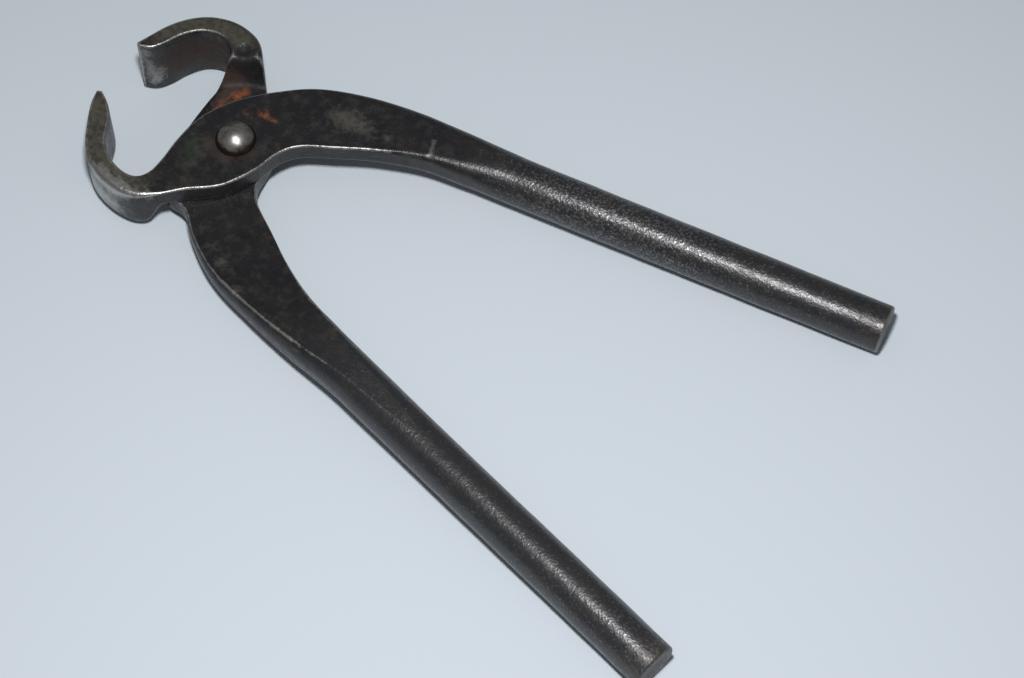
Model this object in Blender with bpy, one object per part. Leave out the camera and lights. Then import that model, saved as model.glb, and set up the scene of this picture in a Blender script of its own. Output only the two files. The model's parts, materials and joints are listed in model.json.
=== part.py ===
"""Forged pincers: two crossed steel levers that turn on one domed rivet.

Metres, +Z up along the rivet. +X runs from the jaws to the handle ends, halfway between
the two handles. The origin is under the middle of the object's box, on the plane that the
blunt jaw's back lies on. The levers are drawn open, with the handles 37 degrees apart.
"""
import math
from collections import namedtuple

import bmesh
import bpy
from mathutils import Vector

MM = 0.001

# Heights above the plane that the jaws' backs lie on.
LAP_HEIGHT = 12.0 * MM
LAP_GAP = 0.3 * MM
CHEEK_THICKNESS = 6.35 * MM

# Where the rivet stands in the plan, which centres the object's box on the origin.
PIVOT = Vector((-66.9 * MM, 0.3 * MM, 0.0))

RIVET_SHANK_RADIUS = 3.5 * MM
RIVET_CLEARANCE = 0.1 * MM
RIVET_FRONT_HEAD_RADIUS = 5.45 * MM
RIVET_FRONT_HEAD_HEIGHT = 3.9 * MM
RIVET_BACK_HEAD_RADIUS = 5.2 * MM
RIVET_BACK_HEAD_HEIGHT = 1.4 * MM
RIVET_HEAD_GAP = 0.3 * MM

# Each lever's jaw is full height outside a round seat that the other lever's cheek turns in.
FRONT_SEAT_RADIUS = 24.5 * MM
BACK_SEAT_RADIUS = 20.5 * MM

HANDLE_DIAMETER = 13.0 * MM
HANDLE_SLOPE = math.radians(10.7)
HANDLE_OFFSET = 23.9 * MM
HANDLE_ROUND_FROM = 66.0 * MM
HANDLE_FIRST_RUN = 18.0 * MM
FRONT_HANDLE_REACH = 169.6 * MM
BACK_HANDLE_REACH = 172.3 * MM
HANDLE_END_CHAMFER = 0.7 * MM

CORNER_STEPS = 5
FRONT_DOME_STEPS = 8
BACK_DOME_STEPS = 4
STEPS_PER_STATION = 3
ROUND_SEGMENTS = 48
SMOOTH_UNDER = math.radians(35)
MERGE_DISTANCE = 0.01 * MM

# The cutters reach past the levers above and below.
CUT_FROM = -5.0 * MM
CUT_TO = 30.0 * MM

# A station is one cross-section of a lever. `inner` and `outer` are plan points, in
# millimetres from the rivet: inner on the side that faces the jaws' gap and then runs along
# the outside of the handle, outer on the jaw's back and then the handle's inside. `back`
# and `front` are heights over the lap plane. The corner radii go round the section.
Station = namedtuple("Station", "inner outer back front front_in front_out back_in back_out")

CHEEK_FRONT = CHEEK_THICKNESS / MM + 0.15
CHEEK_BACK = 0.25
JAW_BACK = -9.2

# The front lever: hooked jaw with a sharp tip, flat cheek, flat shank that grows round.
FRONT_STATIONS = [
    Station((-38.4, -8.9), (-39.6, -9.5), JAW_BACK, CHEEK_FRONT, 0.4, 0.4, 0.4, 0.4),
    Station((-34.9, -10.8), (-38.6, -13.4), JAW_BACK, CHEEK_FRONT, 0.8, 0.9, 0.8, 0.9),
    Station((-31.4, -14.2), (-35.7, -18.6), JAW_BACK, CHEEK_FRONT, 0.9, 1.0, 0.9, 1.2),
    Station((-28.9, -19.0), (-32.3, -23.6), JAW_BACK, CHEEK_FRONT, 0.9, 1.0, 0.9, 1.6),
    Station((-25.4, -22.8), (-27.2, -28.2), JAW_BACK, CHEEK_FRONT, 0.9, 1.5, 1.0, 2.4),
    Station((-19.8, -24.8), (-19.8, -30.5), JAW_BACK, CHEEK_FRONT, 1.0, 1.9, 1.2, 3.0),
    Station((-15.0, -24.3), (-12.1, -29.8), JAW_BACK, CHEEK_FRONT, 1.0, 1.5, 1.2, 3.0),
    Station((-12.6, -21.2), (-6.8, -25.7), -8.2, CHEEK_FRONT, 0.9, 0.8, 1.0, 2.6),
    Station((-12.4, -15.6), (-1.4, -19.8), CHEEK_BACK, CHEEK_FRONT, 0.8, 0.6, 0.5, 0.5),
    Station((-12.9, -8.2), (5.4, -13.6), CHEEK_BACK, CHEEK_FRONT, 0.7, 0.6, 0.5, 0.5),
    Station((-12.1, 0.2), (9.6, -5.2), CHEEK_BACK, CHEEK_FRONT, 0.7, 0.6, 0.5, 0.5),
    Station((-8.2, 9.0), (11.8, 3.2), CHEEK_BACK, CHEEK_FRONT, 0.7, 0.6, 0.5, 0.5),
    Station((-2.0, 16.9), (15.4, 8.4), CHEEK_BACK, CHEEK_FRONT, 0.8, 0.6, 0.6, 0.6),
    Station((7.0, 25.4), (22.6, 13.0), CHEEK_BACK, CHEEK_FRONT, 1.6, 0.7, 1.6, 1.0),
    Station((18.0, 31.6), (32.0, 18.8), -1.0, CHEEK_FRONT, 3.0, 0.8, 3.6, 2.4),
    Station((32.0, 36.3), (43.0, 24.2), -3.2, CHEEK_FRONT, 4.0, 1.6, 4.8, 4.2),
    Station((47.0, 39.6), (54.5, 27.4), -5.4, CHEEK_FRONT, 5.0, 3.6, 5.8, 5.6),
]

# The back lever, drawn as if it were the front one: the build mirrors it in the plan and
# across the lap plane. Its blunt jaw is a wide hook that ends in a flat land.
BACK_STATIONS = [
    Station((-38.8, -6.7), (-39.1, -7.3), -9.2, 12.0, 0.2, 0.3, 0.2, 0.3),
    Station((-35.2, -8.2), (-37.7, -11.8), -9.2, 12.0, 0.5, 0.8, 0.5, 0.8),
    Station((-32.9, -11.8), (-35.9, -16.8), -9.2, 12.0, 0.6, 0.9, 0.6, 0.9),
    Station((-30.9, -16.6), (-32.7, -22.0), -9.0, 11.6, 0.7, 1.0, 0.7, 1.0),
    Station((-27.4, -20.8), (-28.2, -26.2), -8.8, 10.6, 0.8, 1.2, 0.8, 1.2),
    Station((-22.6, -22.6), (-21.4, -28.9), -8.6, 9.6, 0.9, 1.6, 0.9, 1.6),
    Station((-18.4, -21.4), (-14.0, -28.2), -8.4, 8.6, 1.2, 2.4, 1.2, 2.2),
    Station((-16.7, -18.0), (-8.7, -23.4), -8.0, 7.6, 1.6, 2.4, 1.4, 1.8),
    Station((-17.2, -12.4), (-5.0, -19.6), -0.5, CHEEK_FRONT, 2.0, 1.2, 3.2, 0.6),
    Station((-16.8, -5.0), (3.6, -12.6), 0.0, CHEEK_FRONT, 0.9, 0.6, 2.4, 0.5),
    Station((-15.4, 4.6), (8.2, -4.4), CHEEK_BACK, CHEEK_FRONT, 0.7, 0.6, 0.9, 0.5),
    Station((-13.2, 15.4), (9.8, 3.4), CHEEK_BACK, CHEEK_FRONT, 0.7, 0.6, 0.5, 0.5),
    Station((-7.8, 21.2), (11.4, 6.8), CHEEK_BACK, CHEEK_FRONT, 0.8, 0.6, 0.5, 0.5),
    Station((-1.0, 21.9), (14.6, 9.8), CHEEK_BACK, CHEEK_FRONT, 1.0, 0.6, 0.6, 0.6),
    Station((5.4, 27.2), (22.0, 14.0), CHEEK_BACK, CHEEK_FRONT, 1.8, 0.7, 2.4, 0.8),
    Station((17.0, 33.8), (32.0, 19.8), -1.0, CHEEK_FRONT, 3.2, 0.9, 4.0, 1.6),
    Station((32.0, 37.7), (43.0, 24.5), -3.2, CHEEK_FRONT, 4.4, 1.8, 4.8, 3.4),
    Station((47.0, 40.4), (54.5, 27.4), -5.4, CHEEK_FRONT, 5.4, 3.8, 5.6, 5.2),
]


def remove_scene_objects():
    for item in list(bpy.data.objects):
        bpy.data.objects.remove(item, do_unlink=True)


def metal(name, colour, roughness):
    material = bpy.data.materials.new(name)
    material.use_nodes = True
    shader = material.node_tree.nodes["Principled BSDF"]
    shader.inputs["Base Color"].default_value = (*colour, 1.0)
    shader.inputs["Metallic"].default_value = 0.9
    shader.inputs["Roughness"].default_value = roughness
    return material


def handle_stations(reach):
    """The straight round part of a handle and its chamfered end, in millimetres."""
    radius = HANDLE_DIAMETER / MM / 2
    along = Vector((math.cos(HANDLE_SLOPE), math.sin(HANDLE_SLOPE)))
    across = Vector((-along.y, along.x))
    start = HANDLE_ROUND_FROM / MM
    end = reach / MM
    chamfer = HANDLE_END_CHAMFER / MM
    stations = []
    for x, size in (
        (start, radius),
        (start + HANDLE_FIRST_RUN / MM, radius),
        (end - chamfer, radius),
        (end, radius - chamfer),
    ):
        axis = Vector((x, HANDLE_OFFSET / MM + x * math.tan(HANDLE_SLOPE)))
        inner = axis + across * size
        outer = axis - across * size
        stations.append(Station(tuple(inner), tuple(outer), -size, size, size, size, size, size))
    return stations


def smooth_point(before, start, end, after, t):
    """A point of the Catmull-Rom curve from start (t=0) to end (t=1)."""
    return 0.5 * (
        2 * start
        + (end - before) * t
        + (2 * before - 5 * start + 4 * end - after) * t**2
        + (3 * start - before - 3 * end + after) * t**3
    )


def between(stations, index, t):
    """The cross-section at t between a station and the next one."""
    last = len(stations) - 1
    picks = [stations[max(0, min(last, index + step))] for step in (-1, 0, 1, 2)]
    sides = []
    for side in ("inner", "outer"):
        points = [Vector(getattr(pick, side)) for pick in picks]
        sides.append(smooth_point(*points, t))
    here, after = picks[1], picks[2]
    rest = [a + (b - a) * t for a, b in zip(here[2:], after[2:])]
    return Station(*sides, *rest)


def section_points(station):
    """The rounded-corner outline of one cross-section, in metres, once round."""
    inner = Vector(station.inner) * MM
    outer = Vector(station.outer) * MM
    back = station.back * MM
    front = station.front * MM
    middle = (inner + outer) / 2
    half_width = (inner - outer).length / 2
    half_height = (front - back) / 2
    across = (inner - outer).normalized()
    corners = (
        (1, 1, station.front_in, 0),
        (-1, 1, station.front_out, 90),
        (-1, -1, station.back_out, 180),
        (1, -1, station.back_in, 270),
    )
    points = []
    for side, level, radius, first_angle in corners:
        wide = min(radius * MM, half_width)
        tall = min(radius * MM, half_height)
        for step in range(CORNER_STEPS + 1):
            angle = math.radians(first_angle + 90 * step / CORNER_STEPS)
            reach = side * (half_width - wide) + wide * math.cos(angle)
            height = level * (half_height - tall) + tall * math.sin(angle)
            plan = middle + across * reach
            points.append(Vector((plan.x, plan.y, LAP_HEIGHT + (front + back) / 2 + height)))
    return points


def lever_sections(stations, reach):
    """Sections along a smooth curve up to the round part, then the straight handle's own."""
    straight = handle_stations(reach)
    curve = stations + straight[:2]
    sections = []
    for index in range(len(stations)):
        for step in range(STEPS_PER_STATION):
            sections.append(between(curve, index, step / STEPS_PER_STATION))
    return sections + straight


def lever_mesh(name, sections, mirrored):
    """One closed skin through the sections, drawn round the rivet's axis."""
    shape = bmesh.new()
    rings = []
    for section in sections:
        ring = []
        for point in section_points(section):
            if mirrored:
                point = Vector((point.x, -point.y, 2 * LAP_HEIGHT - point.z))
            ring.append(shape.verts.new(point))
        rings.append(ring)
    for ring, following in zip(rings, rings[1:]):
        for index, corner in enumerate(ring):
            beside = (index + 1) % len(ring)
            shape.faces.new((corner, ring[beside], following[beside], following[index]))
    shape.faces.new(rings[0])
    shape.faces.new(rings[-1])
    bmesh.ops.remove_doubles(shape, verts=shape.verts, dist=MERGE_DISTANCE)
    bmesh.ops.dissolve_degenerate(shape, edges=shape.edges, dist=MERGE_DISTANCE)
    bmesh.ops.recalc_face_normals(shape, faces=shape.faces)
    mesh = bpy.data.meshes.new(name)
    shape.to_mesh(mesh)
    shape.free()
    return mesh


def cylinder_cutter(name, radius, low, high):
    """A cutter on the rivet's axis between two heights."""
    shape = bmesh.new()
    bmesh.ops.create_cone(
        shape,
        cap_ends=True,
        segments=ROUND_SEGMENTS,
        radius1=radius,
        radius2=radius,
        depth=high - low,
    )
    bmesh.ops.translate(shape, verts=shape.verts, vec=(0, 0, (low + high) / 2))
    mesh = bpy.data.meshes.new(name)
    shape.to_mesh(mesh)
    shape.free()
    cutter = bpy.data.objects.new(name, mesh)
    cutter.location = PIVOT
    cutter.hide_render = True
    cutter.display_type = "WIRE"
    bpy.context.collection.objects.link(cutter)
    return cutter


def cut(target, cutter):
    modifier = target.modifiers.new(cutter.name, "BOOLEAN")
    modifier.operation = "DIFFERENCE"
    modifier.solver = "EXACT"
    modifier.object = cutter


def add_lever(name, stations, reach, mirrored, material, cutters):
    mesh = lever_mesh(name, lever_sections(stations, reach), mirrored)
    mesh.materials.append(material)
    mesh.shade_smooth()
    mesh.set_sharp_from_angle(angle=SMOOTH_UNDER)
    lever = bpy.data.objects.new(name, mesh)
    lever.location = PIVOT
    bpy.context.collection.objects.link(lever)
    for cutter in cutters:
        cut(lever, cutter)
    return lever


def dome_profile(radius, height, steps):
    """Points of a spherical cap from its rim to just short of its top, as (radius, height)."""
    ball = (radius**2 + height**2) / (2 * height)
    edge = math.asin(radius / ball)
    centre = height - ball
    points = []
    for step in range(steps):
        angle = edge * (1 - step / steps)
        points.append((ball * math.sin(angle), centre + ball * math.cos(angle)))
    return points


def add_rivet(material):
    """One turned solid: front dome, shank through both cheeks, lower dome behind."""
    front_face = LAP_HEIGHT + CHEEK_FRONT * MM + RIVET_HEAD_GAP
    back_face = LAP_HEIGHT - CHEEK_FRONT * MM - RIVET_HEAD_GAP
    front = dome_profile(RIVET_FRONT_HEAD_RADIUS, RIVET_FRONT_HEAD_HEIGHT, FRONT_DOME_STEPS)
    back = dome_profile(RIVET_BACK_HEAD_RADIUS, RIVET_BACK_HEAD_HEIGHT, BACK_DOME_STEPS)
    profile = [(r, front_face + z) for r, z in reversed(front)]
    profile += [(RIVET_SHANK_RADIUS, front_face), (RIVET_SHANK_RADIUS, back_face)]
    profile += [(r, back_face - z) for r, z in back]
    shape = bmesh.new()
    rings = []
    for radius, height in profile:
        ring = []
        for step in range(ROUND_SEGMENTS):
            angle = math.tau * step / ROUND_SEGMENTS
            ring.append(
                shape.verts.new((radius * math.cos(angle), radius * math.sin(angle), height))
            )
        rings.append(ring)
    for ring, following in zip(rings, rings[1:]):
        for step in range(ROUND_SEGMENTS):
            beside = (step + 1) % ROUND_SEGMENTS
            shape.faces.new((ring[step], ring[beside], following[beside], following[step]))
    top = shape.verts.new((0, 0, front_face + RIVET_FRONT_HEAD_HEIGHT))
    bottom = shape.verts.new((0, 0, back_face - RIVET_BACK_HEAD_HEIGHT))
    for step in range(ROUND_SEGMENTS):
        beside = (step + 1) % ROUND_SEGMENTS
        shape.faces.new((top, rings[0][beside], rings[0][step]))
        shape.faces.new((bottom, rings[-1][step], rings[-1][beside]))
    bmesh.ops.recalc_face_normals(shape, faces=shape.faces)
    mesh = bpy.data.meshes.new("rivet")
    shape.to_mesh(mesh)
    shape.free()
    mesh.materials.append(material)
    mesh.shade_smooth()
    mesh.set_sharp_from_angle(angle=SMOOTH_UNDER)
    rivet = bpy.data.objects.new("rivet", mesh)
    rivet.location = PIVOT
    bpy.context.collection.objects.link(rivet)
    return rivet


def build():
    remove_scene_objects()
    forged = metal("blackened_forged_steel", (0.030, 0.031, 0.034), 0.42)
    forged_back = metal("blackened_forged_steel_worn", (0.040, 0.040, 0.042), 0.45)
    polished = metal("worn_rivet_steel", (0.16, 0.16, 0.155), 0.3)
    bore = cylinder_cutter(
        "rivet_bore_cutter", RIVET_SHANK_RADIUS + RIVET_CLEARANCE, CUT_FROM, CUT_TO
    )
    front_seat = cylinder_cutter(
        "front_seat_cutter", FRONT_SEAT_RADIUS, CUT_FROM, LAP_HEIGHT + LAP_GAP / 2
    )
    back_seat = cylinder_cutter(
        "back_seat_cutter", BACK_SEAT_RADIUS, LAP_HEIGHT - LAP_GAP / 2, CUT_TO
    )
    add_lever("front_lever", FRONT_STATIONS, FRONT_HANDLE_REACH, False, forged, (front_seat, bore))
    add_lever("back_lever", BACK_STATIONS, BACK_HANDLE_REACH, True, forged_back, (back_seat, bore))
    add_rivet(polished)


build()
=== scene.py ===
"""Forged steel pincers: the two levers and the rivet as finished pieces, on a pale table.

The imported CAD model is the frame. Each lever is drawn again as a dense skin through the same
stations as its CAD node, with a forged surface, and rides on its node's body.
"""
import json
import math
from collections import namedtuple

import bmesh
import bpy
import numpy as np
from bpy.props import FloatProperty, FloatVectorProperty, IntProperty, PointerProperty
from mathutils import Matrix, Vector, noise


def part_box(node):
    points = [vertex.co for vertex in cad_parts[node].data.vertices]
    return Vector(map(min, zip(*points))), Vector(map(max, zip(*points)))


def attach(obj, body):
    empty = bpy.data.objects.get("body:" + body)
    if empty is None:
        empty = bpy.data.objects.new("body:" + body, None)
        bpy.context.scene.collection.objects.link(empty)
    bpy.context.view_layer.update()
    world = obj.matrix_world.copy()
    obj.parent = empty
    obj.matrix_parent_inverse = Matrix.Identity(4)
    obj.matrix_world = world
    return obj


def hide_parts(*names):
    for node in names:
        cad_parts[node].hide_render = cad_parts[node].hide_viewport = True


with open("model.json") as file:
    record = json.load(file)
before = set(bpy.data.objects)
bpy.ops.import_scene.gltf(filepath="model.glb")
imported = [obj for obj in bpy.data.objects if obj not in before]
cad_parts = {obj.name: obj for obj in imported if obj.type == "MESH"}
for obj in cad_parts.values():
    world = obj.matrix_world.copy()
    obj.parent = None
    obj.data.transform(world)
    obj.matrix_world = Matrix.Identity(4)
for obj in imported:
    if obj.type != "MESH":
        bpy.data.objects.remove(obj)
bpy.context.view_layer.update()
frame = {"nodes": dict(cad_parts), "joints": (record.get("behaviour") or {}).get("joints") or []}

bl_info = {
    "name": "Forged pincers",
    "version": (1, 0, 0),
    "blender": (4, 5, 0),
    "location": "View3D > Sidebar > Pincers",
    "description": "Builds forged steel pincers with worn black scale on a pale table",
    "category": "Object",
}

MM = 0.001
JOINT = frame["joints"][0]
PIVOT = Vector((JOINT["pos_m"][0], JOINT["pos_m"][1], 0.0))
LAP_HEIGHT = JOINT["pos_m"][2]
RIVET_LOW, RIVET_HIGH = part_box("rivet")

# ---------------------------------------------------------------- the levers' shape

# A station is one cross-section of a lever. `inner` and `outer` are plan points, in
# millimetres from the rivet: inner on the side that faces the jaws' gap and then runs along
# the outside of the handle, outer on the jaw's back and then the handle's inside. `back`
# and `front` are heights over the lap plane. The corner radii go round the section.
Station = namedtuple("Station", "inner outer back front front_in front_out back_in back_out")

CHEEK_FRONT = 6.5
CHEEK_BACK = 0.25
JAW_BACK = -9.2

FRONT_STATIONS = [
    Station((-38.4, -8.9), (-39.6, -9.5), JAW_BACK, CHEEK_FRONT, 0.4, 0.4, 0.4, 0.4),
    Station((-34.9, -10.8), (-38.6, -13.4), JAW_BACK, CHEEK_FRONT, 0.8, 0.9, 0.8, 0.9),
    Station((-31.4, -14.2), (-35.7, -18.6), JAW_BACK, CHEEK_FRONT, 0.9, 1.0, 0.9, 1.2),
    Station((-28.9, -19.0), (-32.3, -23.6), JAW_BACK, CHEEK_FRONT, 0.9, 1.0, 0.9, 1.6),
    Station((-25.4, -22.8), (-27.2, -28.2), JAW_BACK, CHEEK_FRONT, 0.9, 1.5, 1.0, 2.4),
    Station((-19.8, -24.8), (-19.8, -30.5), JAW_BACK, CHEEK_FRONT, 1.0, 1.9, 1.2, 3.0),
    Station((-15.0, -24.3), (-12.1, -29.8), JAW_BACK, CHEEK_FRONT, 1.0, 1.5, 1.2, 3.0),
    Station((-12.6, -21.2), (-6.8, -25.7), -8.2, CHEEK_FRONT, 0.9, 0.8, 1.0, 2.6),
    Station((-12.4, -15.6), (-1.4, -19.8), CHEEK_BACK, CHEEK_FRONT, 0.8, 0.6, 0.5, 0.5),
    Station((-12.9, -8.2), (5.4, -13.6), CHEEK_BACK, CHEEK_FRONT, 0.7, 0.6, 0.5, 0.5),
    Station((-12.1, 0.2), (9.6, -5.2), CHEEK_BACK, CHEEK_FRONT, 0.7, 0.6, 0.5, 0.5),
    Station((-8.2, 9.0), (11.8, 3.2), CHEEK_BACK, CHEEK_FRONT, 0.7, 0.6, 0.5, 0.5),
    Station((-2.0, 16.9), (15.4, 8.4), CHEEK_BACK, CHEEK_FRONT, 0.8, 0.6, 0.6, 0.6),
    Station((7.0, 25.4), (22.6, 13.0), CHEEK_BACK, CHEEK_FRONT, 1.6, 0.7, 1.6, 1.0),
    Station((18.0, 31.6), (32.0, 18.8), -1.0, CHEEK_FRONT, 3.0, 0.8, 3.6, 2.4),
    Station((32.0, 36.3), (43.0, 24.2), -3.2, CHEEK_FRONT, 4.0, 1.6, 4.8, 4.2),
    Station((47.0, 39.6), (54.5, 27.4), -5.4, CHEEK_FRONT, 5.0, 3.6, 5.8, 5.6),
]

# The back lever is drawn as if it were the front one, then mirrored in the plan and across
# the lap plane. Its blunt jaw is a wide hook that ends in a flat land.
BACK_STATIONS = [
    Station((-38.8, -6.7), (-39.1, -7.3), -9.2, 12.0, 0.2, 0.3, 0.2, 0.3),
    Station((-35.2, -8.2), (-37.7, -11.8), -9.2, 12.0, 0.5, 0.8, 0.5, 0.8),
    Station((-32.9, -11.8), (-35.9, -16.8), -9.2, 12.0, 0.6, 0.9, 0.6, 0.9),
    Station((-30.9, -16.6), (-32.7, -22.0), -9.0, 11.6, 0.7, 1.0, 0.7, 1.0),
    Station((-27.4, -20.8), (-28.2, -26.2), -8.8, 10.6, 0.8, 1.2, 0.8, 1.2),
    Station((-22.6, -22.6), (-21.4, -28.9), -8.6, 9.6, 0.9, 1.6, 0.9, 1.6),
    Station((-18.4, -21.4), (-14.0, -28.2), -8.4, 8.6, 1.2, 2.4, 1.2, 2.2),
    Station((-16.7, -18.0), (-8.7, -23.4), -8.0, 7.6, 1.6, 2.4, 1.4, 1.8),
    Station((-17.2, -12.4), (-5.0, -19.6), -0.5, CHEEK_FRONT, 2.0, 1.2, 3.2, 0.6),
    Station((-16.8, -5.0), (3.6, -12.6), 0.0, CHEEK_FRONT, 0.9, 0.6, 2.4, 0.5),
    Station((-15.4, 4.6), (8.2, -4.4), CHEEK_BACK, CHEEK_FRONT, 0.7, 0.6, 0.9, 0.5),
    Station((-13.2, 15.4), (9.8, 3.4), CHEEK_BACK, CHEEK_FRONT, 0.7, 0.6, 0.5, 0.5),
    Station((-7.8, 21.2), (11.4, 6.8), CHEEK_BACK, CHEEK_FRONT, 0.8, 0.6, 0.5, 0.5),
    Station((-1.0, 21.9), (14.6, 9.8), CHEEK_BACK, CHEEK_FRONT, 1.0, 0.6, 0.6, 0.6),
    Station((5.4, 27.2), (22.0, 14.0), CHEEK_BACK, CHEEK_FRONT, 1.8, 0.7, 2.4, 0.8),
    Station((17.0, 33.8), (32.0, 19.8), -1.0, CHEEK_FRONT, 3.2, 0.9, 4.0, 1.6),
    Station((32.0, 37.7), (43.0, 24.5), -3.2, CHEEK_FRONT, 4.4, 1.8, 4.8, 3.4),
    Station((47.0, 40.4), (54.5, 27.4), -5.4, CHEEK_FRONT, 5.4, 3.8, 5.6, 5.2),
]

# The round handles, as angles and millimetres from the rivet.
HANDLE_SLOPE = math.radians(10.7)
HANDLE_OFFSET = 23.9
HANDLE_RADIUS = 6.5
HANDLE_ROUND_FROM = 66.0
HANDLE_FIRST_RUN = 18.0
FRONT_REACH = 169.6
BACK_REACH = 172.3
END_CHAMFER = 0.7

# Each jaw is full height outside a round seat that the other lever's cheek turns in, and
# rises from it in a forged slope that begins over the fillet. Heights are over the lap
# plane, in millimetres. The slope blends into the jaw's back over a share of the jaw's
# depth, 1 / SEAT_SHARE, kept between the sharpest and the softest blend.
LAP_CLEARANCE = 0.15
FRONT_SEAT_RADIUS = 24.5
BACK_SEAT_RADIUS = 20.5
SEAT_SLOPE = 2.8
SEAT_FILLET = 2.6
SEAT_SOFTNESS = 2.0
SEAT_SHARPEST = 0.02
SEAT_SHARE = 6

# The back lever's upper face is struck flat, which cuts its rounded edge to a crisp ridge:
# millimetres cut off, along the lever. The front lever's edges are left round.
STRUCK_ALONG = (6.0, 17.0, 47.0, 62.0, 90.0)
STRUCK_DEPTH = (0.0, 1.0, 1.2, 0.9, 0.0)
UNSTRUCK = (0.0, 0.0, 0.0, 0.0, 0.0)

# How finely the skins are divided. The corner share draws a section's points towards its
# rounded corners, and the blur length is how far the cross-sections are averaged. Edges
# that bend less than SMOOTH_UNDER are shaded smooth.
RING_SPACING = 0.55
HANDLE_SPACING = 0.9
QUARTER_POINTS = 26
CORNER_SHARE = 3.6
BLUR_LENGTH = 1.6
TIP_CHAMFER = 0.2
CAP_RIM_RINGS = 3
CAP_RINGS = 7
MERGE_DISTANCE = 0.01 * MM
SMOOTH_UNDER = math.radians(50)

BORE_SEGMENTS = 64
BORE_RADIUS = 3.6
BORE_LENGTH = 40.0

# The hammer's unevenness in three sizes: lump size in millimetres, share of the depth, and
# where in the noise it is read. Within the lap's reach of the rivet it is left out up to
# LAP_FLAT from the lap plane, where the cheeks slide, and comes in over LAP_FADE.
HAMMER_LUMPS = (
    (11.0, 1.0, Vector((0.0, 0.0, 0.0))),
    (4.2, 0.35, Vector((7.1, 3.3, 1.7))),
    (1.7, 0.16, Vector((2.9, 8.1, 5.3))),
)
LAP_REACH = 28.0
LAP_FLAT = 1.0
LAP_FADE = 3.0
# A dimple ends at this many of its radii.
DIMPLE_REACH = 2.5

# Outward bend per millimetre at which an edge starts to wear, and the rise to full wear.
EDGE_STARTS = 0.14
EDGE_RISE = 0.5
EDGE_SMOOTHINGS = 2

# Jaw faces are ground bare from the first upward facing to the second. Marks may add up to
# this much where patches overlap.
BARED_FACING = (0.3, 0.8)
MOST_MARK = 1.2

# A patch is a place on a lever that has aged in its own way, or where shade is painted:
# `mark` names the attribute, `place` is in millimetres from the rivet with the height over
# the table plane.
Patch = namedtuple("Patch", "mark place radius strength")

FRONT_PATCHES = [
    Patch("rust", (-3.4, 8.4, 18.5), 2.0, 0.5),
    Patch("rust", (1.4, 10.2, 18.5), 2.2, 0.55),
    Patch("rust", (5.0, 10.6, 18.5), 2.0, 0.48),
    Patch("browned_and_shaded", (-4.8, -5.4, 18.5), 2.6, 0.6),
    Patch("greened", (-8.0, -8.0, 18.5), 3.2, 0.6),
    Patch("greened", (-5.8, -12.6, 18.5), 3.6, 0.6),
    Patch("greened", (4.6, -8.4, 18.5), 2.4, 0.5),
    Patch("browned_and_shaded", (1.2, -6.4, 18.5), 2.8, 0.6),
    Patch("browned_and_shaded", (5.6, -1.0, 18.5), 2.6, 0.5),
    Patch("rust", (-36.2, -11.6, 18.5), 1.3, 0.5),
    Patch("flaked", (17.0, 21.6, 18.5), 3.4, 0.8),
    Patch("flaked", (21.6, 22.4, 18.5), 4.0, 1.0),
    Patch("flaked", (26.6, 22.8, 18.5), 3.6, 0.9),
    Patch("flaked", (32.6, 23.8, 18.5), 2.2, 0.8),
    Patch("bared", (-36.5, -13.0, 18.5), 5.0, 0.9),
    Patch("bared", (-33.0, -18.5, 18.5), 6.0, 1.0),
    Patch("bared", (-28.0, -23.5, 18.5), 6.0, 1.0),
    Patch("bared", (-21.0, -27.0, 18.5), 6.0, 1.0),
    Patch("bared", (-13.0, -27.0, 18.5), 5.5, 0.9),
    Patch("worn", (-14.0, -29.6, 17.5), 2.6, 0.9),
    Patch("worn", (-8.5, -26.6, 17.5), 3.0, 0.7),
    Patch("worn", (-19.5, -31.0, 9.0), 6.5, 1.1),
    Patch("worn", (-28.0, -28.0, 9.0), 6.0, 1.0),
    Patch("worn", (-34.0, -22.0, 9.0), 5.0, 0.7),
    Patch("worn", (-18.0, -29.8, 17.5), 2.8, 1.2),
    Patch("worn", (-23.5, -29.0, 17.5), 2.8, 1.2),
    Patch("worn", (42.2, 32.3, 18.4), 1.1, 0.72),
    Patch("worn", (43.0, 30.4, 18.5), 1.1, 0.72),
    Patch("worn", (43.8, 28.6, 18.5), 1.1, 0.72),
    Patch("worn", (44.6, 26.8, 18.4), 1.1, 0.72),
    # Painted shade with some grime round the rivet's foot.
    Patch("grimy_and_shaded", (0.0, 0.0, 18.5), 5.6, 0.5),
    # Darker end of the front handle, with no bright wear on its rim.
    Patch("browned_and_shaded", (169.0, 56.0, 12.0), 6.0, 0.8),
]

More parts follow.
